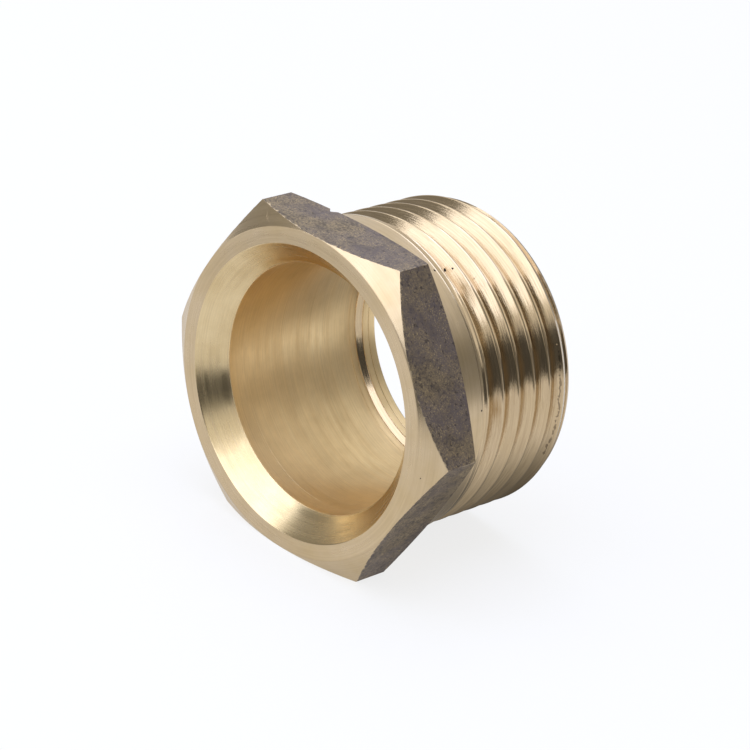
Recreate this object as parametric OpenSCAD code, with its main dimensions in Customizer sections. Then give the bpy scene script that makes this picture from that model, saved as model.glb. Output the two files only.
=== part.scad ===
// Brass pipe bushing: a hexagon head, a turned collar and a parallel pipe
// thread outside, with a countersunk pipe socket inside that ends on a stop lip.
// It is turned from one hexagon bar, so it is one solid. Sizes are in millimetres.
// The bushing is drawn along its own axis, from the front face of the head (0) to
// the end of the thread. It is then laid on one of its flats, with its axis along Y
// and its head towards -Y, and centred above the origin.

/* [Overall] */
// Length from the front face of the head to the end of the thread
overall_l = 18.6; // [16:0.1:30]

/* [Hexagon head] */
// Width across the flats
hex_af = 27.6; // [27.2:0.1:34]
// Distance from the front face to where the back chamfer meets the collar
head_l = 5.45; // [4.5:0.05:8]
// How far inside the flats the flat front face ends and the front chamfer starts
front_inset = 0.05; // [0:0.05:0.8]
// Slope of the front chamfer, in degrees from the face
front_chamfer_a = 34; // [10:1:40]
// Slope of the back chamfer, in degrees from the face
back_chamfer_a = 20; // [5:1:30]

/* [Collar and neck] */
// Length of the turned collar behind the head
collar_l = 2.25; // [1:0.05:5]
// How far the collar stands out beyond the thread's crests
collar_step = 0.08; // [0:0.02:0.3]
// Width of the narrow neck between the collar and the thread
neck_w = 0.35; // [0.2:0.05:1.5]
// How far the neck lies below the thread's crests
neck_drop = 0.37; // [0.1:0.01:0.9]

/* [Male thread] */
// Major diameter, here that of a 3/4 inch parallel pipe thread
thread_d = 26.441; // [25.5:0.001:26.9]
// Threads in one inch
thread_tpi = 14; // [11, 14, 19]
// Length over which the first groove deepens beside the neck
runout_l = 1.4; // [0.5:0.1:3]
// Length of the tapered lead at the thread's end
lead_l = 2.1; // [1:0.1:3]
// How far the lead has dropped below the crests at the very end
lead_drop = 0.67; // [0.2:0.01:1]

/* [Pipe socket] */
// Diameter of the socket that the pipe slides into
socket_d = 20.9; // [19:0.1:21.6]
// Width of the countersink round the socket's mouth, seen from the front
countersink_w = 1.95; // [0.5:0.05:2.2]
// Slope of the countersink, in degrees from the axis
countersink_a = 42.5; // [30:0.5:60]
// How far the stop lip stands into the socket
lip_w = 0.55; // [0.2:0.05:1.5]
// Length of the stop lip, from the socket's end to the thread's end
lip_l = 2.05; // [1:0.05:4]
// Slope of the lip's stop shoulder, in degrees from the face
shoulder_a = 20; // [0:1:30]
// Width of the small chamfer where the lip's opening leaves the thread's end
exit_chamfer = 0.25; // [0.1:0.05:0.5]

/* [Hidden] */

BRASS = [0.80, 0.65, 0.40];
INCH = 25.4;
// Facets that round turned surfaces are shown with
ROUND_STEPS = 96;
// Extra length of a cut, so that it runs clear of the face it starts from
CUT_CLEAR = 1;
// How far the neck is carried on inside the thread, so that the two join
NECK_SEAT = 0.05;

// Whitworth form: the depth in pitches, and how far from the middle of a crest its
// flank starts and ends, in pitches, which gives the 55 degree angle
DEPTH_PER_PITCH = 0.640327;
CREST_HALF = 1 / 12;
ROOT_HALF = 5 / 12;
FLANK_HALF = (CREST_HALF + ROOT_HALF) / 2;
// Places in one pitch, counted from the middle of a crest, that each get a row of points
PITCH_PLACES = [-ROOT_HALF, -FLANK_HALF, -CREST_HALF, CREST_HALF, FLANK_HALF, ROOT_HALF];
PLACES = len(PITCH_PLACES);
// Steps that the thread is drawn with around one turn
TURN_STEPS = 72;
// Distance from the thread's end to the last crest, on the +X side
LAST_CREST = 1.29;
// Points of the thread that lie closer together than this are one point
SAME_POINT = 0.0001;

corner_r = hex_af / 2 / cos(30);
front_face_r = hex_af / 2 - front_inset;
collar_r = thread_d / 2 + collar_step;
neck_r = thread_d / 2 - neck_drop;
socket_r = socket_d / 2;
countersink_r = socket_r + countersink_w;
lip_r = socket_r - lip_w;

// Places along the axis
collar_end = head_l + collar_l;
thread_start = collar_end + neck_w;
lead_start = overall_l - lead_l;
countersink_end = countersink_w / tan(countersink_a);
socket_end = overall_l - lip_l;
shoulder_end = socket_end + lip_w * tan(shoulder_a);

pitch = INCH / thread_tpi;
thread_depth = DEPTH_PER_PITCH * pitch;
// The crests are counted from one that lies a little before the thread's start
crest_count = ceil((overall_l - LAST_CREST - thread_start) / pitch) + 1;
first_crest = overall_l - LAST_CREST - crest_count * pitch;

function limit(x, low, high) = min(high, max(low, x));

// Share of the full height at a place counted in pitches: 1 on a crest, 0 in a root
function thread_height(place) =
    1 - limit((abs(place - round(place)) - CREST_HALF) / (ROOT_HALF - CREST_HALF), 0, 1);

// Depth of the groove at a distance along the axis, where the run-out makes it shallow
function groove_depth(z) = thread_depth * limit((z - thread_start) / runout_l, 0, 1);

// Radius that the tapered lead leaves at a distance along the axis
function lead_radius(z) = thread_d / 2 - lead_drop * max(0, z - lead_start) / lead_l;

function thread_radius(z, place) =
    min(lead_radius(z), thread_d / 2 - groove_depth(z) * (1 - thread_height(place)));

// One point of the thread, from its step around the turn and its row along the
// helix. Rows that would lie past either end are drawn on that end's edge.
function thread_point(step, row) =
    let (
        turn = step / TURN_STEPS,
        place = floor(row / PLACES) + PITCH_PLACES[row % PLACES],
        z = limit(first_crest + (place + turn) * pitch, thread_start, overall_l),
        r = thread_radius(z, (z - first_crest) / pitch - turn)
    )
    [r * cos(360 * turn), r * sin(360 * turn), z];

// The threaded length as a solid: a skin of helical rows between two flat ends
module thread_solid() {
    rows = (crest_count + 3) * PLACES;
    points = [for (step = [0 : TURN_STEPS - 1], row = [0 : rows - 1]) thread_point(step, row)];

    // After a whole turn the helix has moved on by one pitch
    function at(step, row) =
        step < TURN_STEPS ? step * rows + row : min(rows - 1, row + PLACES);
    function apart(a, b) = norm(points[a] - points[b]) > SAME_POINT;
    function is_face(a, b, c) = apart(a, b) && apart(b, c) && apart(c, a);

    skin = [
        for (step = [0 : TURN_STEPS - 1], row = [0 : rows - 2])
            let (
                a = at(step, row),
                b = at(step + 1, row),
                c = at(step + 1, row + 1),
                d = at(step, row + 1)
            )
            each [
                if (is_face(a, c, b)) [a, c, b],
                if (is_face(a, d, c)) [a, d, c]
            ]
    ];
    start_face = [for (step = [0 : TURN_STEPS - 1]) at(step, 0)];
    end_face = [for (step = [TURN_STEPS - 1 : -1 : 0]) at(step, rows - 1)];
    polyhedron(points, concat(skin, [start_face, end_face]), convexity = 10);
}

// Hexagon between two cones, which leave curved edges on its flats
module hexagon_head() {
    intersection() {
        cylinder(r = corner_r, h = head_l, $fn = 6);
        cylinder(
            r1 = front_face_r,
            r2 = front_face_r + head_l / tan(front_chamfer_a),
            h = head_l,
            $fn = ROUND_STEPS
        );
        cylinder(
            r1 = collar_r + head_l / tan(back_chamfer_a),
            r2 = collar_r,
            h = head_l,
            $fn = ROUND_STEPS
        );
    }
}

module collar_and_neck() {
    cylinder(r = collar_r, h = collar_end, $fn = ROUND_STEPS);
    cylinder(r = neck_r, h = thread_start + NECK_SEAT, $fn = ROUND_STEPS);
}

// Everything that is bored out: countersink, socket, stop shoulder and lip opening
module pipe_way() {
    rotate_extrude($fn = ROUND_STEPS)
        polygon([
            [0, -CUT_CLEAR],
            [countersink_r + CUT_CLEAR * tan(countersink_a), -CUT_CLEAR],
            [socket_r, countersink_end],
            [socket_r, socket_end],
            [lip_r, shoulder_end],
            [lip_r, overall_l - exit_chamfer],
            [lip_r + exit_chamfer + CUT_CLEAR, overall_l + CUT_CLEAR],
            [0, overall_l + CUT_CLEAR]
        ]);
}

module bushing() {
    color(BRASS)
        translate([0, -overall_l / 2, hex_af / 2])
            rotate([-90, 0, 0])
                difference() {
                    union() {
                        hexagon_head();
                        collar_and_neck();
                        thread_solid();
                    }
                    pipe_way();
                }
}

bushing();
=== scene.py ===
"""Brass pipe bushing: a rough hexagon head, a collar, an outside thread and a pipe socket."""

import math

import bmesh
import bpy
from bpy.props import FloatProperty, FloatVectorProperty, IntProperty, PointerProperty
from bpy.types import Operator, Panel, PropertyGroup
from mathutils import Matrix, Vector


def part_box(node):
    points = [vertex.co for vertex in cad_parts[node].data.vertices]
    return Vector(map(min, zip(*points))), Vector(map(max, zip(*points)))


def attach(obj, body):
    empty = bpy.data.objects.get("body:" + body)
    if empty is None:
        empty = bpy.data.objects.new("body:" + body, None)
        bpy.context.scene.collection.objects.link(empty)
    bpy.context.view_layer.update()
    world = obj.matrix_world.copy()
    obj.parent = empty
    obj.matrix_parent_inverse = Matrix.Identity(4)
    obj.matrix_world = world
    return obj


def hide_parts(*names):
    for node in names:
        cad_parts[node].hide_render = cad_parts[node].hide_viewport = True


bl_info = {
    "name": "Pipe Bushing",
    "version": (1, 0, 0),
    "blender": (4, 5, 0),
    "location": "3D View > Sidebar > Bushing",
    "description": "Turns a brass pipe bushing from a hexagon bar and sets it on a studio floor",
    "category": "Add Mesh",
}

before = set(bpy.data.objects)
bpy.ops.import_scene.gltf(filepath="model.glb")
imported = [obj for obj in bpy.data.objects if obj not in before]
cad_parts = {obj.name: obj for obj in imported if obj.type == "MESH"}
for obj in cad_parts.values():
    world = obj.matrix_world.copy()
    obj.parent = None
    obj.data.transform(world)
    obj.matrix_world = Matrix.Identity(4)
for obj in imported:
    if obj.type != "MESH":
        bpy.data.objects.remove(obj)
NODE = "bushing"
NODE_LOW, NODE_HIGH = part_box(NODE)
MM = 0.001
INCH = 25.4 * MM
# Distance between points that are merged when two surfaces meet
WELD = 0.0002 * MM
# How far tools and cut stock run past the faces that they make
CLEAR = MM
# Steps round the axis of everything that is turned
ROUND_STEPS = 288
# Height of the bushing's axis above the floor
AXIS_HEIGHT = (NODE_LOW.z + NODE_HIGH.z) / 2
# Middle of the bushing, which the lamps face
MIDDLE = (NODE_LOW + NODE_HIGH) / 2


# Sizes and colours


def length(name, description, default_mm):
    """A size in millimetres, kept in metres."""
    return FloatProperty(
        name=name, description=description, default=default_mm * MM,
        min=0, unit="LENGTH", precision=5,
    )


def angle(name, description, default_degrees):
    """An angle in degrees, kept in radians."""
    return FloatProperty(
        name=name, description=description, default=math.radians(default_degrees), subtype="ANGLE"
    )


def tint(name, description, default):
    """A colour."""
    return FloatVectorProperty(
        name=name, description=description, default=default, min=0, max=1, size=3, subtype="COLOR"
    )


class BushingSizes(PropertyGroup):
    """Sizes of the bushing, measured along and round its own axis."""

    overall_l: length(
        "Overall length", "From the face to the thread's end", (NODE_HIGH.y - NODE_LOW.y) / MM
    )
    hex_af: length("Hexagon", "Width across its flats", (NODE_HIGH.z - NODE_LOW.z) / MM)
    head_l: length("Head length", "From the front face to the back chamfer's inner edge", 5.45)
    front_inset: length("Front inset", "How far inside the flats the front chamfer starts", 0.05)
    front_chamfer_a: angle("Front chamfer", "Slope of the front chamfer from the face", 34)
    back_chamfer_a: angle("Back chamfer", "Slope of the back chamfer from the face", 20)
    collar_l: length("Collar length", "Length of the turned collar behind the head", 2.25)
    collar_step: length("Collar step", "How far the collar stands out beyond the crests", 0.08)
    neck_w: length("Neck width", "Width of the narrow neck beside the thread", 0.35)
    neck_drop: length("Neck drop", "How far the neck lies below the crests", 0.37)
    thread_d: length("Thread diameter", "Outside diameter of the thread", 26.441)
    thread_tpi: IntProperty(
        name="Threads in one inch", description="Crests in one inch", default=14, min=8
    )
    runout_l: length("Run-out", "Length over which the first groove deepens", 0.6)
    lead_l: length("Lead", "Length of the tapered lead at the thread's end", 1.35)
    lead_drop: length("Lead drop", "How far the lead has dropped at the very end", 0.67)
    socket_d: length("Socket", "Diameter that the pipe slides into", 20.9)
    countersink_w: length("Countersink width", "Width of the countersink seen from the front", 1.95)
    countersink_a: angle("Countersink", "Slope of the countersink from the axis", 42.5)
    lip_w: length("Lip", "How far the stop lip stands into the socket", 0.55)
    lip_l: length("Lip length", "From the socket's end to the thread's end", 2.05)
    shoulder_a: angle("Shoulder", "Slope of the stop shoulder from the face", 32)
    exit_chamfer: length("Exit chamfer", "Chamfer where the opening leaves the thread's end", 0.25)
    edge_break: length("Edge break", "How far turned edges are rounded off", 0.06)
    bar_roughness: length("Bar roughness", "How far the rough flats rise and fall", 0.03)
    lead_offset: length("Lead offset", "How far the lead was turned off the thread's centre", 0.4)
    run_in_l: length("Run-in", "Length over which the last groove fades at the thread's end", 0.75)
    thread_lean: angle("Thread lean", "How far the thread leans from square to the axis", 1.1)


class BushingColours(PropertyGroup):
    """Colours of the brass, of the rough flats and of the floor."""

    brass: tint("Turned brass", "Bright metal of the turned surfaces", (0.64, 0.505, 0.33))
    brass_deep: tint("Turned brass, deep", "Yellower metal in patches", (0.55, 0.405, 0.20))
    brass_shade: tint("Brass, shade", "Duller metal in the turning marks", (0.38, 0.28, 0.17))
    thread: tint("Threaded brass", "Bright metal of the thread", (0.62, 0.485, 0.315))
    # The bored and countersunk tints are lighter than the turned one: painted light
    bored: tint("Bored brass", "Satin metal of the socket and the lip", (0.95, 0.735, 0.41))
    sunk: tint("Countersunk brass", "Bright metal of the countersink", (0.73, 0.58, 0.34))
    scale_dark: tint("Scale, dark", "Dark oxide on the rough flats", (0.05, 0.038, 0.032))
    scale_light: tint("Scale, light", "Worn oxide on the rough flats", (0.39, 0.29, 0.165))
    scale_violet: tint("Scale, violet", "Bluish brown oxide", (0.155, 0.122, 0.118))
    # The dark brown that the ragged line beside the last crest is coloured with
    darkening: tint("Darkening", "Brown grime in the crack", (0.10, 0.065, 0.04))
    floor: tint("Floor", "Pale studio floor", (0.93, 0.91, 0.86))


# Modelling with Blender's own tools

# Steps in which a corner of an outline is rounded, and the most of a side that this takes
EASE_STEPS = 3
EASE_SHARE = 0.4


def begin():
    """Leaves edit mode and deselects everything."""
    if bpy.context.mode != "OBJECT":
        bpy.ops.object.mode_set(mode="OBJECT")
    bpy.ops.object.select_all(action="DESELECT")


def pick(piece):
    """Makes a piece the only selected one."""
    begin()
    piece.select_set(True)
    bpy.context.view_layer.objects.active = piece


def eased(corners, reach):
    """An outline whose inner corners are rounded, starting reach before each corner."""
    outline = [Vector(corners[0])]
    for before, corner, after in zip(corners, corners[1:], corners[2:]):
        before, corner, after = Vector(before), Vector(corner), Vector(after)
        room = min(reach, EASE_SHARE * min((before - corner).length, (after - corner).length))
        start = corner + (before - corner).normalized() * room
        end = corner + (after - corner).normalized() * room
        for i in range(EASE_STEPS + 1):
            t = i / EASE_STEPS
            outline.append(start.lerp(corner, t).lerp(corner.lerp(end, t), t))
    outline.append(Vector(corners[-1]))
    return outline


def turned(name, outline):
    """A solid turned round Z: a disc is drawn out from station to station of (radius, height)."""
    begin()
    radius, height = outline[0]
    bpy.ops.mesh.primitive_circle_add(
        vertices=ROUND_STEPS, radius=radius, fill_type="NGON", location=(0, 0, height)
    )
    piece = bpy.context.object
    piece.name = name
    bpy.ops.object.transform_apply(location=True)
    bpy.ops.object.mode_set(mode="EDIT")
    bpy.ops.mesh.select_all(action="SELECT")
    for next_radius, next_height in outline[1:]:
        bpy.ops.mesh.extrude_region_move(
            TRANSFORM_OT_translate={"value": (0, 0, next_height - height)}
        )
        share = next_radius / radius
        bpy.ops.transform.resize(value=(share, share, 1), center_override=(0, 0, next_height))
        radius, height = next_radius, next_height
    bpy.ops.mesh.select_all(action="SELECT")
    bpy.ops.mesh.normals_make_consistent(inside=False)
    bpy.ops.object.mode_set(mode="OBJECT")
    return piece


def combined(piece, tool, operation):
    """A piece joined with, cut by or limited to a tool, which is used up."""
    pick(piece)
    cut = piece.modifiers.new(operation.title(), "BOOLEAN")
    cut.operation = operation
    cut.solver = "EXACT"
    cut.object = tool
    bpy.ops.object.modifier_apply(modifier=cut.name)
    bpy.data.objects.remove(tool, do_unlink=True)
    return piece


def even_shading(piece):
    """Keeps wide faces evenly shaded where small rounded edges meet them."""
    weights = piece.modifiers.new("Weights", "WEIGHTED_NORMAL")
    weights.keep_sharp = True
    pick(piece)
    bpy.ops.object.modifier_apply(modifier=weights.name)


def roughened(piece, scale, depth, group):
    """Lowers a vertex group unevenly along its normals, by up to a depth."""
    clouds = bpy.data.textures.new(f"{group} {scale / MM:.2f} mm", "CLOUDS")
    clouds.noise_scale = scale
    rough = piece.modifiers.new("Rough", "DISPLACE")
    rough.texture = clouds
    rough.texture_coords = "LOCAL"
    rough.strength = depth
    rough.mid_level = 1
    rough.vertex_group = group
    pick(piece)
    bpy.ops.object.modifier_apply(modifier=rough.name)


# The bushing

# The bar: how far its corners are bevelled and in how many steps, the cuts that divide its
# flats, the least area of a flat, the sizes of its coarse and fine unevenness, and how deep
# the fine one is beside the coarse one
CORNER_BEVEL, BEVEL_STEPS = 0.11 * MM, 3
FLAT_CUTS = 63
LEAST_FLAT = 20 * MM * MM
COARSE, FINE = 1.3 * MM, 0.30 * MM
FINE_DEPTH = 1.3
# How far the neck is carried on inside the thread, so that the two join
NECK_SEAT = 0.05 * MM
# The neck's lean from its collar, where round the axis it is deepest, how far round it
# reaches, and the shares of its depth that it has there and on the far side
NECK_SLANT = 0.08 * MM
NECK_DEEPEST = math.radians(25)
NECK_REACH, NECK_FADE = math.radians(12), math.radians(24)
NECK_MOST, NECK_LEAST = 0.50, 0.07
# The sharp edge that turning left on the collar: how high it stands and how wide it is
COLLAR_LIP_H, COLLAR_LIP_W = 0.035 * MM, 0.12 * MM
# How far the thread's start is eased off, and over what length
START_DROP, START_EASE = 0.20 * MM, 0.24 * MM
# Distance from the thread's end to the last crest, on the +X side
LAST_CREST = 1.19 * MM
# How far past the thread's end the fading last groove would be gone
GROOVE_PAST = 0.15 * MM
# The way in which the lead is off centre, the share of that offset that its cone is wider by,
# and how far the cone runs past the thread's end
LEAD_SHIFT_WAY = math.radians(215)
LEAD_WIDER = 0.85
LEAD_PAST = 0.5 * MM
# The thread's form as it is worn: the radius that its crests and its roots are rounded
# with, the flank's angle from square to the axis, and the steps that draw an arc
CREST_ROUND, ROOT_ROUND = 0.16 * MM, 0.32 * MM
FLANK = math.radians(31.7)
ARC_STEPS = 5
# Fine rings that the boring tool left: place from the front face and depth, in mm
SOCKET_RINGS = ((3.75, 0.012), (15.8, 0.03))
LIP_RING = (17.6, 0.02)
# Half the width of such a ring as a share of its depth
RING_SPREAD = 1.5
# How far the countersink's sharp edge is rounded off
MOUTH_BREAK = 0.04 * MM
# Small holes: angle round the axis, place from the front face, radius they lie at and their
# own radius, in degrees and mm
PITS = (
    (62.8, 7.46, 13.30, 0.15), (64.2, 9.42, 12.40, 0.19), (62.8, 9.75, 12.88, 0.11),
    (57.1, 11.4, 12.68, 0.09), (47.0, 12.9, 12.80, 0.06), (38.0, 8.9, 12.75, 0.06),
    (10.8, 7.55, 13.30, 0.11), (-12.5, 7.30, 13.30, 0.06), (96.6, 9.1, 13.00, 0.12),
    (95.2, 9.3, 12.9, 0.09), (98.0, 9.0, 13.0, 0.08), (58.8, 14.9, 12.70, 0.07),
    (72.0, 6.60, 13.30, 0.05), (20.0, 15.1, 12.80, 0.06), (-8.0, 13.2, 12.85, 0.05),
    (150.0, 9.9, 13.10, 0.10), (205.0, 12.4, 12.9, 0.09), (262.0, 8.3, 13.15, 0.12),
    (-4.4, 0.31, 14.21, 0.07), (229.0, 6.7, 13.30, 0.08),
)
# Bright nicks in the chamfer, with a scratch, and tiny grains that stand up beside the
# crack, given in the same way
NICKS = (
    (92.7, 0.22, 13.80, 0.12), (91.6, 0.20, 13.79, 0.08), (90.0, 0.18, 13.79, 0.12),
    (80.6, 0.41, 13.97, 0.11), (72.6, 0.63, 14.44, 0.12), (70.9, 0.70, 14.56, 0.09),
    (41.0, 0.50, 14.10, 0.07), (12.0, 0.55, 14.30, 0.08), (-42.0, 0.45, 14.05, 0.07),
    (115.8, 0.49, 14.50, 0.05), (115.2, 0.40, 14.37, 0.06), (114.6, 0.31, 14.24, 0.06),
    (114.0, 0.22, 14.10, 0.05),
)
CRUMBS = ((25.2, 17.12, 12.90, 0.075), (15.7, 17.13, 12.91, 0.065), (1.0, 17.12, 12.89, 0.05))
# The ragged dark line beside the last crest, where the lead was turned: its ends round
# the axis, its place from the front face and its greatest width
CRACK_FROM, CRACK_TO = math.radians(-20), math.radians(24)
CRACK_PLACE = 17.14 * MM
CRACK_WIDTH_MM = 0.13
# The chip broken out of the top flat's back edge, as corners seen from above, with the levels
# below the flat that it is cut from and to, in mm
CHIP = ((-3.44, -4.62), (-2.60, -3.72), (-3.40, -3.20), (-4.32, -3.79))
CHIP_LEVELS = (-0.3, 0.35)
# Stones that leave pits: their mean size, how far it varies, and how flat they are
STONE_SIZE, STONE_UNEVEN, STONE_FLAT = 0.8, 0.2, 0.75

# Material slots of the bushing, after the turned finish in slot 0
FLATS_SLOT, BORE_SLOT, THREAD_SLOT, DARK_PIT_SLOT, SINK_SLOT = 1, 2, 3, 4, 5
# How far a bored finish reaches past its edge, and how far behind the collar the thread's starts
FINISH_REACH, THREAD_FINISH = 0.1 * MM, 0.05 * MM
# How near to the bored radius a face counts as bored, and to a flat's distance as a flat
BORE_REACH, FLAT_REACH = 0.08 * MM, 0.4 * MM
# How much of a face's normal points along the axis: on faces square to it, on the shoulder
# at least, and on the countersink at most
SQUARE, SHOULDER_LEAST, SINK_MOST = 0.98, 0.3, 0.9
# How much of the normal of a flat's face points straight out, at least
FLAT_LEAST = 0.8
# The sharpest angle that is still shaded smooth
SMOOTH_ANGLE = math.radians(32)


def round_angle(place):
    """Angle round the axis before the bushing is laid down: 0 is +X and 90 degrees will be up."""
    return math.atan2(-place.y, place.x)


def round_place(radius, way, height):
    """The place at a radius and an angle round the axis, before the bushing is laid down."""
    return Vector((radius * math.cos(way), -radius * math.sin(way), height))


def smooth_share(value, full_until, fade):
    """1 up to a value, then falling softly to 0 over the fade."""
    t = min(1, max(0, (value - full_until) / fade))
    return 1 - t * t * (3 - 2 * t)


def hexagon_bar(sizes, height):
    """A length of hexagon bar with slightly rounded corners and rough flats."""
    begin()
    corner_r = sizes.hex_af / 2 / math.cos(math.radians(30))
    middle = (0, 0, (height - CLEAR) / 2)
    bpy.ops.mesh.primitive_cylinder_add(
        vertices=6, radius=corner_r, depth=height + 2 * CLEAR, location=middle
    )
    bar = bpy.context.object
    bar.name = "bar"
    bpy.ops.object.transform_apply(location=True)
    # Blender's cylinder has its first corner on the Y axis, and the bushing has it on the X axis
    bpy.ops.transform.rotate(value=math.radians(90), orient_axis="Z", center_override=(0, 0, 0))
    bpy.ops.object.transform_apply(rotation=True)
    bpy.ops.object.mode_set(mode="EDIT")
    bpy.ops.mesh.select_mode(type="EDGE")
    bpy.ops.mesh.select_all(action="DESELECT")
    mesh = bmesh.from_edit_mesh(bar.data)
    for edge in mesh.edges:
        rise = edge.verts[1].co - edge.verts[0].co
        edge.select = abs(rise.z) > abs(rise.x) + abs(rise.y)
    bmesh.update_edit_mesh(bar.data)
    bpy.ops.mesh.bevel(offset=CORNER_BEVEL, segments=BEVEL_STEPS, affect="EDGES")
    bpy.ops.mesh.select_mode(type="FACE")
    bpy.ops.mesh.select_all(action="DESELECT")
    mesh = bmesh.from_edit_mesh(bar.data)
    for face in mesh.faces:
        face.select = abs(face.normal.z) < 0.5 and face.calc_area() > LEAST_FLAT
    bmesh.update_edit_mesh(bar.data)
    bpy.ops.mesh.subdivide(number_cuts=FLAT_CUTS)
    bpy.ops.object.mode_set(mode="OBJECT")
    flats = bar.vertex_groups.new(name="flats")
    flats.add([v.index for v in bar.data.vertices], 1, "REPLACE")
    roughened(bar, COARSE, sizes.bar_roughness, "flats")
    roughened(bar, FINE, sizes.bar_roughness * FINE_DEPTH, "flats")
    return bar


def head_and_collar(sizes):
    """The front end as it is turned: two chamfers, the collar and the neck."""
    front_r = sizes.hex_af / 2 - sizes.front_inset
    outside_r = sizes.hex_af / 2 / math.cos(math.radians(30)) + CLEAR
    collar_r = sizes.thread_d / 2 + sizes.collar_step
    neck_r = sizes.thread_d / 2 - sizes.neck_drop
    collar_end = sizes.head_l + sizes.collar_l
    back_rise = (outside_r - collar_r) * math.tan(sizes.back_chamfer_a)
    corners = [
        (front_r - MM, 0),
        (front_r, 0),
        (outside_r, (outside_r - front_r) * math.tan(sizes.front_chamfer_a)),
        (outside_r, sizes.head_l - back_rise),
        (collar_r, sizes.head_l),
        (collar_r, collar_end - COLLAR_LIP_W),
        (collar_r + COLLAR_LIP_H, collar_end - COLLAR_LIP_W / 4),
        (collar_r, collar_end),
        (neck_r, collar_end + NECK_SLANT),
        (neck_r, collar_end + sizes.neck_w + NECK_SEAT),
    ]
    front = turned("bushing_front", eased(corners, sizes.edge_break))
    # The neck was cut a little off centre, so it is deep on one side and dies out on the other
    for vertex in front.data.vertices:
        below = collar_r - vertex.co.xy.length
        if vertex.co.z > sizes.head_l + MM and below > 0:
            off = abs(math.remainder(round_angle(vertex.co) - NECK_DEEPEST, 2 * math.pi))
            share = smooth_share(off, NECK_REACH, NECK_FADE)
            kept = NECK_LEAST + (NECK_MOST - NECK_LEAST) * share
            vertex.co.xy *= (collar_r - below * kept) / vertex.co.xy.length
    return front


def thread_sleeve(sizes):
    """The threaded length as a solid rod: one pitch of the form is screwed round the axis."""
    pitch = INCH / sizes.thread_tpi
    crest_r = sizes.thread_d / 2
    start = sizes.head_l + sizes.collar_l + sizes.neck_w
    last_crest = sizes.overall_l - LAST_CREST
    turns = math.ceil((last_crest - start) / pitch + 0.5) + 2
    first_crest = last_crest - (turns - 2) * pitch
    outline = rounded_thread_form(pitch, crest_r)
    points = [(radius, 0, first_crest + height) for radius, height in outline]
    form = bpy.data.meshes.new("thread_form")
    form.from_pydata(points, [(i, i + 1) for i in range(len(points) - 1)], [])
    sleeve = bpy.data.objects.new("thread_form", form)
    bpy.context.scene.collection.objects.link(sleeve)
    pick(sleeve)
    winding = sleeve.modifiers.new("Winding", "SCREW")
    winding.axis = "Z"
    winding.angle = math.radians(360)
    winding.screw_offset = pitch
    winding.iterations = turns
    winding.steps = winding.render_steps = ROUND_STEPS
    winding.use_merge_vertices = False
    bpy.ops.object.modifier_apply(modifier=winding.name)

    # The thread leans a little, and its groove gets shallower towards the neck and the end
    for vertex in sleeve.data.vertices:
        vertex.co.z -= vertex.co.y * math.tan(sizes.thread_lean)
        radius = vertex.co.xy.length
        before_end = sizes.overall_l + GROOVE_PAST - vertex.co.z
        shown = 1 - smooth_share(vertex.co.z, start, sizes.runout_l)
        shown *= max(0, min(1, before_end / sizes.run_in_l))
        eased_off = START_DROP * max(0, 1 - (vertex.co.z - start) / START_EASE)
        vertex.co.xy *= (crest_r - max((crest_r - radius) * shown, eased_off)) / radius

    bpy.ops.object.mode_set(mode="EDIT")
    bpy.ops.mesh.select_all(action="SELECT")
    bpy.ops.mesh.remove_doubles(threshold=WELD)
    for height, facing in ((start, -1), (sizes.overall_l, 1)):
        bpy.ops.mesh.select_all(action="SELECT")
        bpy.ops.mesh.bisect(
            plane_co=(0, 0, height), plane_no=(0, 0, facing),
            use_fill=True, clear_outer=True, threshold=WELD,
        )
    bpy.ops.mesh.select_all(action="SELECT")
    bpy.ops.mesh.normals_make_consistent(inside=False)
    bpy.ops.object.mode_set(mode="OBJECT")

    slope = sizes.lead_drop / sizes.lead_l
    end_r = crest_r - sizes.lead_drop + LEAD_WIDER * sizes.lead_offset
    ways = (start - CLEAR - sizes.overall_l, LEAD_PAST)
    lead = turned("lead", [(end_r - way * slope, sizes.overall_l + way) for way in ways])
    lead.data.transform(Matrix.Translation(round_place(sizes.lead_offset, LEAD_SHIFT_WAY, 0)))
    return combined(sleeve, lead, "INTERSECT")


def rounded_thread_form(pitch, crest_r):
    """One pitch of the thread as (radius, height), from root to root, in arcs and flanks."""
    turn = math.pi / 2 - FLANK
    rounds = CREST_ROUND + ROOT_ROUND
    flank_l = pitch / 2 - rounds * math.sin(turn)
    low = crest_r - rounds * (1 - math.cos(turn)) - flank_l / math.tan(FLANK)
    steps = [turn * i / ARC_STEPS for i in range(ARC_STEPS + 1)]
    root = [
        Vector((low + ROOT_ROUND * (1 - math.cos(t)), ROOT_ROUND * math.sin(t) - pitch / 2))
        for t in steps
    ]
    crest = [
        Vector((crest_r - CREST_ROUND * (1 - math.cos(t)), -CREST_ROUND * math.sin(t)))
        for t in reversed(steps)
    ]
    half = root + crest
    return half + [Vector((radius, -height)) for radius, height in reversed(half[:-1])]


def pipe_way(sizes):
    """The tool that bores the countersink, the socket, the stop shoulder and the lip."""
    socket_r = sizes.socket_d / 2
    lip_r = socket_r - sizes.lip_w
    mouth_r = socket_r + sizes.countersink_w
    lean = math.tan(sizes.countersink_a)
    socket_end = sizes.overall_l - sizes.lip_l
    corners = [
        (mouth_r + MOUTH_BREAK, -CLEAR),
        (mouth_r + MOUTH_BREAK, -MOUTH_BREAK / lean / 2),
        (mouth_r - MOUTH_BREAK, MOUTH_BREAK / lean),
        (socket_r, sizes.countersink_w / lean),
        *[point for ring in SOCKET_RINGS for point in ring_cut(socket_r, *ring)],
        (socket_r, socket_end),
        (lip_r, socket_end + sizes.lip_w * math.tan(sizes.shoulder_a)),
        *ring_cut(lip_r, *LIP_RING),
        (lip_r, sizes.overall_l - sizes.exit_chamfer),
        (lip_r + sizes.exit_chamfer + CLEAR, sizes.overall_l + CLEAR),
    ]
    return turned("pipe_way", eased(corners, sizes.edge_break))


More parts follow.
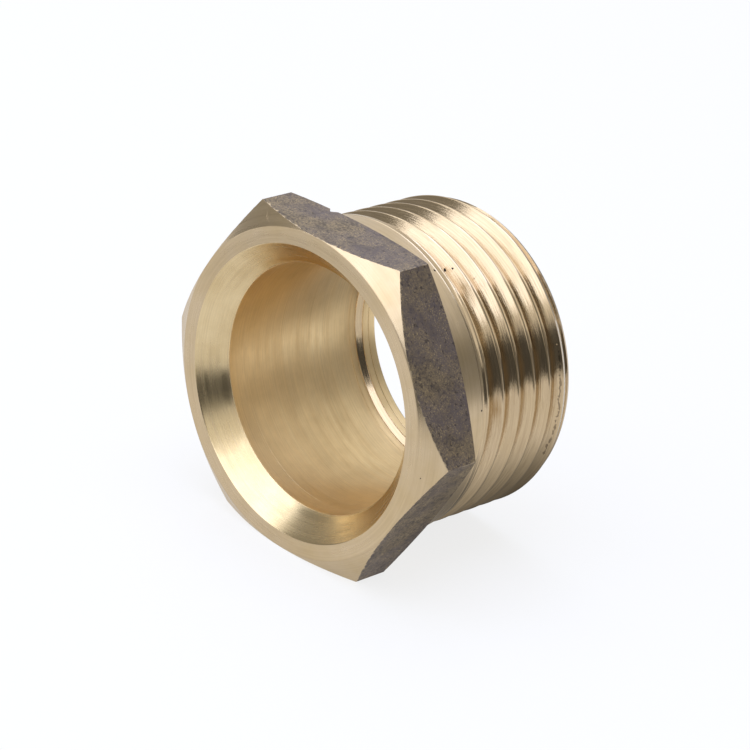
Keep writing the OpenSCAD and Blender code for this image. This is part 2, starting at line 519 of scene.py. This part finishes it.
def ring_cut(radius, place_mm, depth_mm):
    """The points that a fine ring adds to a bored wall."""
    place, depth = place_mm * MM, depth_mm * MM
    half = RING_SPREAD * depth
    return (radius, place - half), (radius + depth, place), (radius, place + half)


def pebbles(places):
    """Small uneven stones as one piece, to leave pits with or to add as grains."""
    begin()
    stones = []
    for i, (way, place, radius, size) in enumerate(places):
        middle = round_place(radius * MM, math.radians(way), place * MM)
        bpy.ops.mesh.primitive_ico_sphere_add(subdivisions=2, radius=size * MM, location=middle)
        stone = bpy.context.object
        for j, vertex in enumerate(stone.data.vertices):
            vertex.co *= STONE_SIZE + STONE_UNEVEN * math.sin(7 * j + 3 * i)
        stone.scale = (1, 1, STONE_FLAT)
        stones.append(stone)
    for stone in stones:
        stone.select_set(True)
    bpy.context.view_layer.objects.active = stones[0]
    bpy.ops.object.join()
    bpy.ops.object.transform_apply(location=True, rotation=True, scale=True)
    return bpy.context.object


def chip(sizes):
    """The tool that breaks the chip out of the top flat's back edge."""
    mesh = bmesh.new()
    top = -sizes.hex_af / 2
    rings = [
        [mesh.verts.new((x * MM, top + level * MM, y * MM - NODE_LOW.y)) for x, y in CHIP]
        for level in CHIP_LEVELS
    ]
    mesh.faces.new(rings[0])
    mesh.faces.new(reversed(rings[1]))
    for k in range(len(CHIP)):
        after = (k + 1) % len(CHIP)
        mesh.faces.new((rings[0][k], rings[1][k], rings[1][after], rings[0][after]))
    bmesh.ops.recalc_face_normals(mesh, faces=mesh.faces)
    data = bpy.data.meshes.new("chip")
    mesh.to_mesh(data)
    mesh.free()
    piece = bpy.data.objects.new("chip", data)
    bpy.context.scene.collection.objects.link(piece)
    return piece


def darkened_inside(tool):
    """Makes the cut that a tool leaves take the dark pits' material slot."""
    for _ in range(DARK_PIT_SLOT + 1):
        tool.data.materials.append(None)
    for face in tool.data.polygons:
        face.material_index = DARK_PIT_SLOT
    return tool


def laid_down(piece, sizes):
    """Lays the finished piece on a flat, with its axis along Y, where the CAD solid is."""
    turn = Matrix.Rotation(math.radians(-90), 4, "X")
    place = Matrix.Translation((0, NODE_LOW.y, NODE_LOW.z + sizes.hex_af / 2))
    piece.data.transform(place @ turn)
    piece.data.update()


def finish_slot(face, radius, sizes):
    """The material slot of a face that isn't on a flat, at its distance from the axis."""
    along, square = face.center.y, abs(face.normal.y)
    sink_end = NODE_LOW.y + sizes.countersink_w / math.tan(sizes.countersink_a) + FINISH_REACH
    if radius < sizes.socket_d / 2 + BORE_REACH:
        shoulder = NODE_HIGH.y - sizes.lip_l - FINISH_REACH
        return THREAD_SLOT if square > SHOULDER_LEAST and along > shoulder else BORE_SLOT
    in_mouth = radius < sizes.socket_d / 2 + sizes.countersink_w and along < sink_end
    if in_mouth and square < SINK_MOST:
        return SINK_SLOT
    if along > NODE_LOW.y + sizes.head_l + sizes.collar_l + THREAD_FINISH:
        return THREAD_SLOT
    return face.material_index


def give_finishes(piece, sizes):
    """Gives the flats, the bore, the countersink and the thread their own finishes."""
    axis_z = NODE_LOW.z + sizes.hex_af / 2
    for face in piece.data.polygons:
        # Faces square to the axis keep the turned finish
        if face.material_index == DARK_PIT_SLOT or abs(face.normal.y) > SQUARE:
            continue
        across, along, above = face.center.x, face.center.y, face.center.z - axis_z
        face.material_index = finish_slot(face, math.hypot(across, above), sizes)
        if along > NODE_LOW.y + sizes.head_l:
            continue
        for k in range(6):
            turn = math.radians(30 + 60 * k)
            facing = Vector((math.cos(turn), 0, math.sin(turn)))
            out = Vector((across, 0, above)).dot(facing)
            if face.normal.dot(facing) > FLAT_LEAST and out > sizes.hex_af / 2 - FLAT_REACH:
                face.material_index = FLATS_SLOT


# Materials

# How many waves to the metre each noise has
DRIFT_WAVES, PATCH_WAVES = 220, 260
BEND_WAVES, GAP_WAVES = 900, 3600
CLOUD_WAVES, GRAIN_WAVES, SPECK_WAVES, TINT_WAVES, HOLE_WAVES = 620, 4200, 9000, 190, 3000
EDGE_WAVES, CORNER_WAVES = 2300, 1900
# How far the turning marks wander, and how many broad marks there are to a fine one
MARK_WANDER, BROAD_TO_FINE = 0.5 * MM, 0.22
# How far the crack bends to each side in mm, and how strongly its dark brown covers the metal
CRACK_BEND, CRACK_SHADE = 0.05, 0.62
# How much rougher the metal is in its patches
PATCH_ROUGHNESS = 0.05
# What the tools left: marks to the mm, least and greatest roughness, how much the marks shade
# and the patches yellow the metal, the marks' depth in mm, and how they stretch reflections
TURNED = (9, (0.25, 0.34), 0.36, 0.55, 0.0030, 0.5)
BORED = (9, (0.36, 0.46), 0.28, 0.35, 0.0035, 0.5)
THREADED = (12, (0.06, 0.13), 0.70, 0.35, 0.0085, 0.4)
COUNTERSUNK = (9, (0.19, 0.28), 0.26, 0.55, 0.0028, 0.5)
# The hexagon's corner radius in mm, which turns angles beside a corner into lengths
CORNER_RADIUS = 16


class Graph:
    """The node tree of a material, a group or the world, with short ways to fill it."""

    def __init__(self, tree):
        self.nodes, self.links = tree.nodes, tree.links

    def feed(self, socket, value):
        """Sets a socket to a number or a colour, or links another socket to it."""
        if isinstance(value, bpy.types.NodeSocket):
            self.links.new(value, socket)
        elif socket.type == "RGBA":
            socket.default_value = (*value, 1)
        else:
            socket.default_value = value

    def maths(self, operation, *inputs):
        """The result of a Math node that is fed by numbers and sockets."""
        node = self.nodes.new("ShaderNodeMath")
        node.operation = operation
        for socket, value in zip(node.inputs, inputs):
            self.feed(socket, value)
        return node.outputs[0]

    def times(self, first, second):
        """The product of two values."""
        return self.maths("MULTIPLY", first, second)

    def noise(self, place, waves, detail=2.0, roughness=0.5):
        """A noise value from 0 to 1, spread about 0.5, with so many waves to the metre."""
        node = self.nodes.new("ShaderNodeTexNoise")
        node.inputs["Detail"].default_value = detail
        node.inputs["Roughness"].default_value = roughness
        self.feed(node.inputs["Scale"], waves)
        self.feed(node.inputs["Vector"], place)
        return node.outputs["Fac"]

    def ramp(self, value, low, high, to_low=0.0, to_high=1.0):
        """The part of a value between low and high, stretched over a new span and clipped to it."""
        node = self.nodes.new("ShaderNodeMapRange")
        node.clamp = True
        spans = (("From Min", low), ("From Max", high), ("To Min", to_low), ("To Max", to_high))
        for name, number in (("Value", value), *spans):
            self.feed(node.inputs[name], number)
        return node.outputs["Result"]

    def mixed(self, factor, first, second):
        """A mix of two colours."""
        node = self.nodes.new("ShaderNodeMix")
        node.data_type = "RGBA"
        for name, value in (("Factor", factor), ("A", first), ("B", second)):
            self.feed(node.inputs[name], value)
        return node.outputs["Result"]

    def group(self, tree, **values):
        """What a node group puts out when it is given its own values."""
        node = self.nodes.new("ShaderNodeGroup")
        node.node_tree = tree
        for label, value in values.items():
            node.inputs[label.replace("_", " ")].default_value = value
        return node.outputs

    def place(self):
        """A point's place in the piece's own frame, and the three parts of it."""
        place = self.nodes.new("ShaderNodeTexCoord").outputs["Object"]
        parts = self.nodes.new("ShaderNodeSeparateXYZ")
        self.feed(parts.inputs[0], place)
        return place, parts.outputs

    def bump(self, shader, height, distance, strength=1):
        """Gives a shader small relief from a height value."""
        node = self.nodes.new("ShaderNodeBump")
        node.inputs["Strength"].default_value = strength
        node.inputs["Distance"].default_value = distance
        self.feed(node.inputs["Height"], height)
        self.feed(shader.inputs["Normal"], node.outputs[0])

    def show_mix(self, factor, first, second):
        """Shows a mix of two shaders on the material's surface."""
        node = self.nodes.new("ShaderNodeMixShader")
        for socket, value in zip(node.inputs, (factor, first, second)):
            self.feed(socket, value)
        self.feed(self.nodes["Material Output"].inputs["Surface"], node.outputs[0])


def new_material(name):
    """A node material, its graph and its shader."""
    material = bpy.data.materials.new(name)
    material.use_nodes = True
    graph = Graph(material.node_tree)
    return material, graph, graph.nodes["Principled BSDF"]


def new_group(name, inputs, outputs):
    """A shader node group with float sockets, its graph, what it is given and what it makes."""
    tree = bpy.data.node_groups.new(name, "ShaderNodeTree")
    for label, default in inputs:
        socket = tree.interface.new_socket(label, in_out="INPUT", socket_type="NodeSocketFloat")
        socket.default_value = default
    for label in outputs:
        tree.interface.new_socket(label, in_out="OUTPUT", socket_type="NodeSocketFloat")
    graph = Graph(tree)
    given = graph.nodes.new("NodeGroupInput")
    made = graph.nodes.new("NodeGroupOutput")
    return tree, graph, given.outputs, made.inputs


def round_axis(graph):
    """A point's place, then how far across, along and above the axis it lies."""
    place, parts = graph.place()
    return place, parts["X"], parts["Y"], graph.maths("SUBTRACT", parts["Z"], AXIS_HEIGHT)


def axis_distance(graph, across, above):
    """How far from the axis a point lies."""
    squares = graph.maths("ADD", graph.times(across, across), graph.times(above, above))
    return graph.maths("SQRT", squares)


def turning_marks_group():
    """Marks left round the axis by the turning tool, and cloudy patches of duller metal."""
    tree, graph, given, made = new_group(
        "turning_marks", (("Marks per mm", 9),), ("Fine Marks", "Broad Marks", "Patches")
    )
    place, across, along, above = round_axis(graph)
    wander = graph.times(graph.noise(place, DRIFT_WAVES, 1), MARK_WANDER)
    ring = graph.nodes.new("ShaderNodeCombineXYZ")
    for socket, value in zip(ring.inputs, (axis_distance(graph, across, above), along, wander)):
        graph.feed(socket, value)
    waves = graph.times(given["Marks per mm"], 1 / MM)
    graph.feed(made["Fine Marks"], graph.noise(ring.outputs[0], waves, 4, 0.6))
    broad = graph.noise(ring.outputs[0], graph.times(waves, BROAD_TO_FINE), 2)
    graph.feed(made["Broad Marks"], broad)
    graph.feed(made["Patches"], graph.noise(place, PATCH_WAVES, 4, 0.6))
    return tree


def crack_group():
    """A ragged line round the axis at one place along it, between two angles round it."""
    tree, graph, given, made = new_group(
        "crack",
        (
            ("Place", NODE_LOW.y + CRACK_PLACE), ("Width mm", CRACK_WIDTH_MM),
            ("From", CRACK_FROM), ("To", CRACK_TO),
        ),
        ("Mask",),
    )
    place, across, along, above = round_axis(graph)
    turn = graph.maths("ARCTAN2", above, across)
    beside = graph.maths("SUBTRACT", along, given["Place"])
    bend = graph.ramp(graph.noise(place, BEND_WAVES, 3), 0.3, 0.7, -CRACK_BEND, CRACK_BEND)
    beside = graph.maths("ABSOLUTE", graph.maths("MULTIPLY_ADD", beside, 1 / MM, bend))
    ragged = graph.ramp(graph.noise(place, GAP_WAVES, 2), 0.40, 0.62)
    half_width = graph.times(ragged, graph.times(given["Width mm"], 0.5))
    line = graph.maths("LESS_THAN", beside, half_width)
    started = graph.maths("GREATER_THAN", turn, given["From"])
    ended = graph.maths("LESS_THAN", turn, given["To"])
    graph.feed(made["Mask"], graph.times(line, graph.times(started, ended)))
    return tree


def edge_wear_group():
    """Bare metal near the turned edges and the corners of the hexagon, ragged by a noise."""
    tree, graph, given, made = new_group(
        "edge_wear",
        (
            ("Front", NODE_LOW.y), ("Chamfer Radius", 0.0138), ("Chamfer Slope", 0.67),
            ("Reach mm", 0.22), ("Corner Reach mm", 0.1),
        ),
        ("Chips", "Corners"),
    )
    place, across, along, above = round_axis(graph)
    out = graph.maths("SUBTRACT", axis_distance(graph, across, above), given["Chamfer Radius"])
    chamfer = graph.times(out, given["Chamfer Slope"])
    depth = graph.maths("SUBTRACT", along, given["Front"])
    from_edge = graph.times(graph.maths("SUBTRACT", depth, chamfer), 1 / MM)
    ragged = graph.ramp(graph.noise(place, EDGE_WAVES, 4, 0.7), 0.46, 0.68)
    reach = graph.times(ragged, given["Reach mm"])
    graph.feed(made["Chips"], graph.maths("LESS_THAN", from_edge, reach))
    turn = graph.maths("ARCTAN2", above, across)
    beside = graph.maths("WRAP", turn, math.radians(30), math.radians(-30))
    aside = graph.times(graph.maths("ABSOLUTE", beside), CORNER_RADIUS)
    worn = graph.ramp(graph.noise(place, CORNER_WAVES, 3, 0.6), 0.45, 0.70)
    reach = graph.times(worn, given["Corner Reach mm"])
    graph.feed(made["Corners"], graph.maths("LESS_THAN", aside, reach))
    return tree


def brass(name, metal, colours, marks, left, cracked=False):
    """Bright cut brass with marks round the axis, as one of the tools left it."""
    per_mm, roughness, shaded, yellowed, depth_mm, grain = left
    material, graph, shader = new_material(name)
    found = graph.group(marks, Marks_per_mm=per_mm)
    patches = graph.ramp(found["Patches"], 0.35, 0.70)
    lines = graph.ramp(found["Fine Marks"], 0.30, 0.72)
    toned = graph.mixed(graph.times(patches, yellowed), metal, colours.brass_deep)
    shade = graph.mixed(graph.times(lines, shaded), toned, colours.brass_shade)
    # The ragged line beside the last crest is coloured an even dark brown
    if cracked:
        line = graph.group(crack_group())["Mask"]
        shade = graph.mixed(graph.times(line, CRACK_SHADE), shade, colours.darkening)
    dull = graph.ramp(found["Broad Marks"], 0.3, 0.7, *roughness)
    dull = graph.maths("ADD", dull, graph.times(patches, PATCH_ROUGHNESS))
    tangent = graph.nodes.new("ShaderNodeTangent")
    tangent.direction_type = "RADIAL"
    tangent.axis = "Y"
    for label, value in (
        ("Base Color", shade), ("Metallic", 1), ("Roughness", dull), ("Anisotropic", grain),
        ("Anisotropic Rotation", 0.25), ("Tangent", tangent.outputs[0]),
    ):
        graph.feed(shader.inputs[label], value)
    graph.bump(shader, found["Fine Marks"], depth_mm * MM)
    return material


def rough_scale(colours, sizes):
    """Dark oxide of the drawn bar, worn to brass in specks and along its edges."""
    material, graph, shader = new_material("rough_scale")
    place, _ = graph.place()
    cloud = graph.noise(place, CLOUD_WAVES, 5, 0.7)
    grain = graph.noise(place, GRAIN_WAVES, 4, 0.75)
    specks = graph.noise(place, SPECK_WAVES, 2, 0.6)
    tone = graph.maths("ADD", graph.times(cloud, 0.35), graph.times(grain, 0.65))
    base = graph.mixed(graph.ramp(tone, 0.36, 0.66), colours.scale_dark, colours.scale_light)
    violet = graph.ramp(graph.noise(place, TINT_WAVES, 3), 0.42, 0.60, 0, 0.62)
    tinted = graph.mixed(violet, base, colours.scale_violet)
    bare = graph.times(graph.ramp(specks, 0.56, 0.66), graph.ramp(cloud, 0.40, 0.56))
    golden = graph.mixed(graph.times(bare, 0.8), tinted, colours.brass_deep)
    holes = graph.ramp(graph.noise(place, HOLE_WAVES, 3, 0.7), 0.36, 0.42, 0.75, 0)
    pitted = graph.mixed(holes, golden, colours.scale_dark)
    wear = graph.group(
        edge_wear_group(),
        Chamfer_Radius=sizes.hex_af / 2 - sizes.front_inset,
        Chamfer_Slope=math.tan(sizes.front_chamfer_a),
    )
    edge = graph.maths("MAXIMUM", wear["Chips"], graph.times(wear["Corners"], 0.35))
    metal = graph.maths("MAXIMUM", edge, graph.ramp(grain, 0.35, 0.7, 0.4, 0.9))
    graph.feed(shader.inputs["Base Color"], graph.mixed(edge, pitted, colours.brass))
    graph.feed(shader.inputs["Metallic"], metal)
    graph.feed(shader.inputs["Roughness"], graph.ramp(tone, 0.35, 0.65, 0.6, 0.42))
    height = graph.maths("ADD", graph.times(grain, 2), specks)
    graph.bump(shader, height, 0.02 * MM, 0.8)
    return material


def dark_pits(colours):
    """An even dark colour on the inside of the pits."""
    material, graph, shader = new_material("dark_pits")
    graph.feed(shader.inputs["Base Color"], colours.scale_dark)
    graph.feed(shader.inputs["Roughness"], 0.7)
    return material


# The studio

# The floor's width, how much of its white doesn't depend on light, and how brightly the room
# lights matt surfaces
FLOOR_WIDTH = 4
FLOOR_GLOW = 0.8
ROOM_LIGHT = 0.45
# Distance of the soft boxes in metres, and height of the pads above the floor
BOX_DISTANCE = 0.5
PAD_HEIGHT_MM = 0.01
# Soft boxes: azimuth, elevation, width and height in degrees, brightness, and colour
SOFT_BOXES = (
    ("front_box", -17, 39.5, 66, 45, 1.32, (0.91, 1.0, 1.27)),
    ("left_box", -118, 52, 34, 34, 1.3, (0.91, 1.0, 1.25)),
    ("top_box", 0, 86, 46, 46, 1.9, (0.84, 1.03, 1.65)),
)
# Cards: azimuth, elevation, width and height in degrees, grey, distance in metres, and the
# shares of their width and height over which their edges fade
GREY_CARDS = (
    ("front_card", 27, 3, 76, 27, 0.10, 0.12, (0.04, 0.04)),
    ("left_card", -68, 19, 42, 46, 0.33, 0.3, (0.08, 0.04)),
    ("side_card", -106, 18, 44, 44, 0.68, 0.32, (0.2, 0.1)),
    ("right_card", 92, 12, 74, 44, 0.26, 0.16, (0.05, 0.15)),
    ("upper_right_card", 108, 40, 46, 60, 0.12, 0.14, (0.25, 0.25)),
    ("back_card", 172, 8, 90, 56, 0.36, 0.2, (0.1, 0.1)),
    ("upper_back_card", 178, 54, 90, 40, 0.95, 0.22, (0.2, 0.2)),
    ("left_back_card", -140, 26, 40, 52, 0.86, 0.24, (0.2, 0.2)),
)
# Pads on the floor: middle and size in mm, grey, and the shares over which their edges fade
FLOOR_PADS = (
    # The close pad is a painted shadow under the bushing, seen only in the metal
    ("close_shadow_pad", (6, 12), (46, 54), 0.16, (0.42, 0.42)),
    ("front_pad", (-44, -54), (34, 30), 0.30, (0.4, 0.4)),
)
# The camera, fitted to the photograph: its lens, its place, and its ways right, up and back
LENS_MM, SENSOR_MM = 144, 36
NEAREST_SEEN, FARTHEST_SEEN = 0.01, 10
CAMERA_PLACE = Vector((0.15158, -0.16394, 0.11821))
CAMERA_RIGHT = Vector((0.68643, 0.71641, 0.12479))
CAMERA_UP = Vector((-0.38744, 0.21508, 0.89645))
CAMERA_BACK = Vector((0.61539, -0.66370, 0.42520))


def seen_or_mirrored(graph):
    """1 for a ray from the camera or by way of a glossy or clear surface."""
    path = graph.nodes.new("ShaderNodeLightPath").outputs
    mirrored = graph.maths("MAXIMUM", path["Is Glossy Ray"], path["Is Transmission Ray"])
    return graph.maths("MAXIMUM", path["Is Camera Ray"], mirrored)


def make_floor(colours):
    """A wide pale floor that stays white to the camera and keeps the bushing's shadow."""
    begin()
    bpy.ops.mesh.primitive_plane_add(size=FLOOR_WIDTH)
    floor = bpy.context.object
    floor.name = "floor"
    material, graph, shader = new_material("studio_floor")
    graph.feed(shader.inputs["Base Color"], colours.floor)
    graph.feed(shader.inputs["Roughness"], 0.9)
    graph.feed(shader.inputs["Specular IOR Level"], 0)
    white = graph.nodes.new("ShaderNodeEmission")
    glow = graph.times(seen_or_mirrored(graph), FLOOR_GLOW)
    graph.show_mix(glow, shader.outputs[0], white.outputs[0])
    floor.data.materials.append(material)


def make_world():
    """A white room: full white where it is seen or mirrored, and softer where it only lights."""
    world = bpy.data.worlds.new("studio")
    bpy.context.scene.world = world
    world.use_nodes = True
    graph = Graph(world.node_tree)
    graph.nodes.clear()
    light = graph.nodes.new("ShaderNodeBackground")
    light.inputs["Color"].default_value = (1, 1, 1, 1)
    strength = graph.ramp(seen_or_mirrored(graph), 0, 1, ROOM_LIGHT, 1)
    graph.feed(light.inputs["Strength"], strength)
    out = graph.nodes.new("ShaderNodeOutputWorld")
    graph.feed(out.inputs["Surface"], light.outputs[0])


def towards(azimuth, elevation, distance):
    """A place seen from the bushing: azimuth 0 is in front of it and 90 to its right."""
    az, el = math.radians(azimuth), math.radians(elevation)
    way = Vector((math.sin(az) * math.cos(el), -math.cos(az) * math.cos(el), math.sin(el)))
    return MIDDLE + way * distance


def facing_bushing(thing, place):
    """Puts a lamp or a card at a place and turns it to face the bushing."""
    thing.location = place
    thing.rotation_euler = (MIDDLE - place).to_track_quat("-Z", "Y").to_euler()


def span(degrees, distance):
    """How wide a thing is that fills this many degrees at a distance."""
    return 2 * distance * math.tan(math.radians(degrees) / 2)


def soft_box(name, azimuth, elevation, wide, high, brightness, colour):
    """A rectangular lamp that fills wide by high degrees, with the brightness its face shows."""
    data = bpy.data.lights.new(name, "AREA")
    data.color = colour
    data.shape = "RECTANGLE"
    data.size, data.size_y = span(wide, BOX_DISTANCE), span(high, BOX_DISTANCE)
    data.energy = brightness * math.pi * data.size * data.size_y
    lamp = bpy.data.objects.new(name, data)
    bpy.context.scene.collection.objects.link(lamp)
    facing_bushing(lamp, towards(azimuth, elevation, BOX_DISTANCE))


def new_card(name):
    """A flat square of width 1, to be sized and placed."""
    begin()
    bpy.ops.mesh.primitive_plane_add(size=1)
    card = bpy.context.object
    card.name = name
    return card


def grey_card(name, azimuth, elevation, wide, high, grey, distance, fade):
    """A card that only shows in reflections, to give the bright metal a darker side."""
    card = new_card(name)
    facing_bushing(card, towards(azimuth, elevation, distance))
    card.scale = (span(wide, distance), span(high, distance), 1)
    show_in_reflections(card, grey, fade)


def floor_pad(name, middle_mm, size_mm, grey, fade):
    """A dark pad just above the floor, only in reflections: the close one is painted shadow."""
    pad = new_card(name)
    pad.location = Vector((*middle_mm, PAD_HEIGHT_MM)) * MM
    pad.scale = (size_mm[0] * MM, size_mm[1] * MM, 1)
    show_in_reflections(pad, grey, fade)


def soft_edge_group():
    """A mask for a card of width 1 that falls softly to 0 at its four edges."""
    tree, graph, given, made = new_group(
        "soft_edge", (("Fade X", 0.1), ("Fade Y", 0.1)), ("Mask",)
    )
    _, parts = graph.place()
    sides = []
    for way in "XY":
        inside = graph.maths("SUBTRACT", 0.5, graph.maths("ABSOLUTE", parts[way]))
        side = graph.ramp(inside, 0, given["Fade " + way])
        side.node.interpolation_type = "SMOOTHSTEP"
        sides.append(side)
    graph.feed(made["Mask"], graph.times(*sides))
    return tree


def show_in_reflections(card, grey, fade):
    """Gives a card an even grey with soft edges, and hides it from all but glossy rays."""
    material, graph, shader = new_material(card.name)
    graph.nodes.remove(shader)
    shade = graph.nodes.new("ShaderNodeEmission")
    graph.feed(shade.inputs["Color"], (grey, grey, grey))
    clear = graph.nodes.new("ShaderNodeBsdfTransparent")
    soft_edge = bpy.data.node_groups.get("soft_edge") or soft_edge_group()
    mask = graph.group(soft_edge, Fade_X=fade[0], Fade_Y=fade[1])["Mask"]
    graph.show_mix(mask, clear.outputs[0], shade.outputs[0])
    card.data.materials.append(material)
    card.visible_camera = card.visible_diffuse = card.visible_shadow = False


def make_lamps():
    """The soft boxes, and the cards and pads that the metal mirrors."""
    for box in SOFT_BOXES:
        soft_box(*box)
    for card in GREY_CARDS:
        grey_card(*card)
    for pad in FLOOR_PADS:
        floor_pad(*pad)


def make_camera():
    """The photograph's camera."""
    data = bpy.data.cameras.new("camera")
    data.lens, data.sensor_width = LENS_MM, SENSOR_MM
    data.clip_start, data.clip_end = NEAREST_SEEN, FARTHEST_SEEN
    camera = bpy.data.objects.new("camera", data)
    bpy.context.scene.collection.objects.link(camera)
    turn = Matrix((CAMERA_RIGHT, CAMERA_UP, CAMERA_BACK)).transposed().to_4x4()
    camera.matrix_world = Matrix.Translation(CAMERA_PLACE) @ turn
    bpy.context.scene.camera = camera


# The add-on's operators and its panel


class BUSHING_OT_body(Operator):
    """Turn the bushing from a rough hexagon bar, thread it and bore it"""

    bl_idname = "bushing.body"
    bl_label = "Bushing"

    def execute(self, context):
        sizes, colours = context.scene.bushing_sizes, context.scene.bushing_colours
        marks = turning_marks_group()
        finishes = (
            brass("turned_brass", colours.brass, colours, marks, TURNED),
            rough_scale(colours, sizes),
            # The bored and countersunk finishes carry painted light in their lighter tints
            brass("bored_brass", colours.bored, colours, marks, BORED),
            brass("threaded_brass", colours.thread, colours, marks, THREADED, cracked=True),
            dark_pits(colours),
            brass("countersunk_brass", colours.sunk, colours, marks, COUNTERSUNK),
        )
        front = head_and_collar(sizes)
        for finish in finishes:
            front.data.materials.append(finish)
        bar = hexagon_bar(sizes, sizes.head_l + sizes.collar_l + sizes.neck_w + CLEAR)
        combined(front, bar, "INTERSECT")
        combined(front, thread_sleeve(sizes), "UNION")
        combined(front, pebbles(CRUMBS), "UNION")
        combined(front, chip(sizes), "DIFFERENCE")
        combined(front, pipe_way(sizes), "DIFFERENCE")
        # The pits' insides take an even dark colour
        combined(front, darkened_inside(pebbles(PITS)), "DIFFERENCE")
        combined(front, pebbles(NICKS), "DIFFERENCE")
        front.name = front.data.name = "bushing_body"
        laid_down(front, sizes)
        give_finishes(front, sizes)
        pick(front)
        bpy.ops.object.shade_smooth_by_angle(angle=SMOOTH_ANGLE)
        even_shading(front)
        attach(front, "root")
        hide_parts(NODE)
        return {"FINISHED"}


class BUSHING_OT_stage(Operator):
    """Make the floor, the soft lights and the camera"""

    bl_idname = "bushing.stage"
    bl_label = "Studio"

    def execute(self, context):
        colours = context.scene.bushing_colours
        make_floor(colours)
        make_world()
        make_lamps()
        make_camera()
        context.scene.view_settings.view_transform = "Standard"
        return {"FINISHED"}


class BUSHING_PT_panel(Panel):
    """Lists the bushing's operators, sizes and colours"""

    bl_idname = "BUSHING_PT_panel"
    bl_label = "Pipe Bushing"
    bl_space_type = "VIEW_3D"
    bl_region_type = "UI"
    bl_category = "Bushing"

    def draw(self, context):
        for operator in OPERATORS:
            self.layout.operator(operator.bl_idname)
        for values in (context.scene.bushing_sizes, context.scene.bushing_colours):
            for name in type(values).__annotations__:
                self.layout.prop(values, name)


OPERATORS = (BUSHING_OT_body, BUSHING_OT_stage)
CLASSES = (BushingSizes, BushingColours, *OPERATORS, BUSHING_PT_panel)


def register():
    for each in CLASSES:
        bpy.utils.register_class(each)
    bpy.types.Scene.bushing_sizes = PointerProperty(type=BushingSizes)
    bpy.types.Scene.bushing_colours = PointerProperty(type=BushingColours)


def unregister():
    del bpy.types.Scene.bushing_colours
    del bpy.types.Scene.bushing_sizes
    for each in reversed(CLASSES):
        bpy.utils.unregister_class(each)


def main():
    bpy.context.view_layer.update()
    register()
    bpy.ops.bushing.body()
    bpy.ops.bushing.stage()


if __name__ == "__main__":
    main()
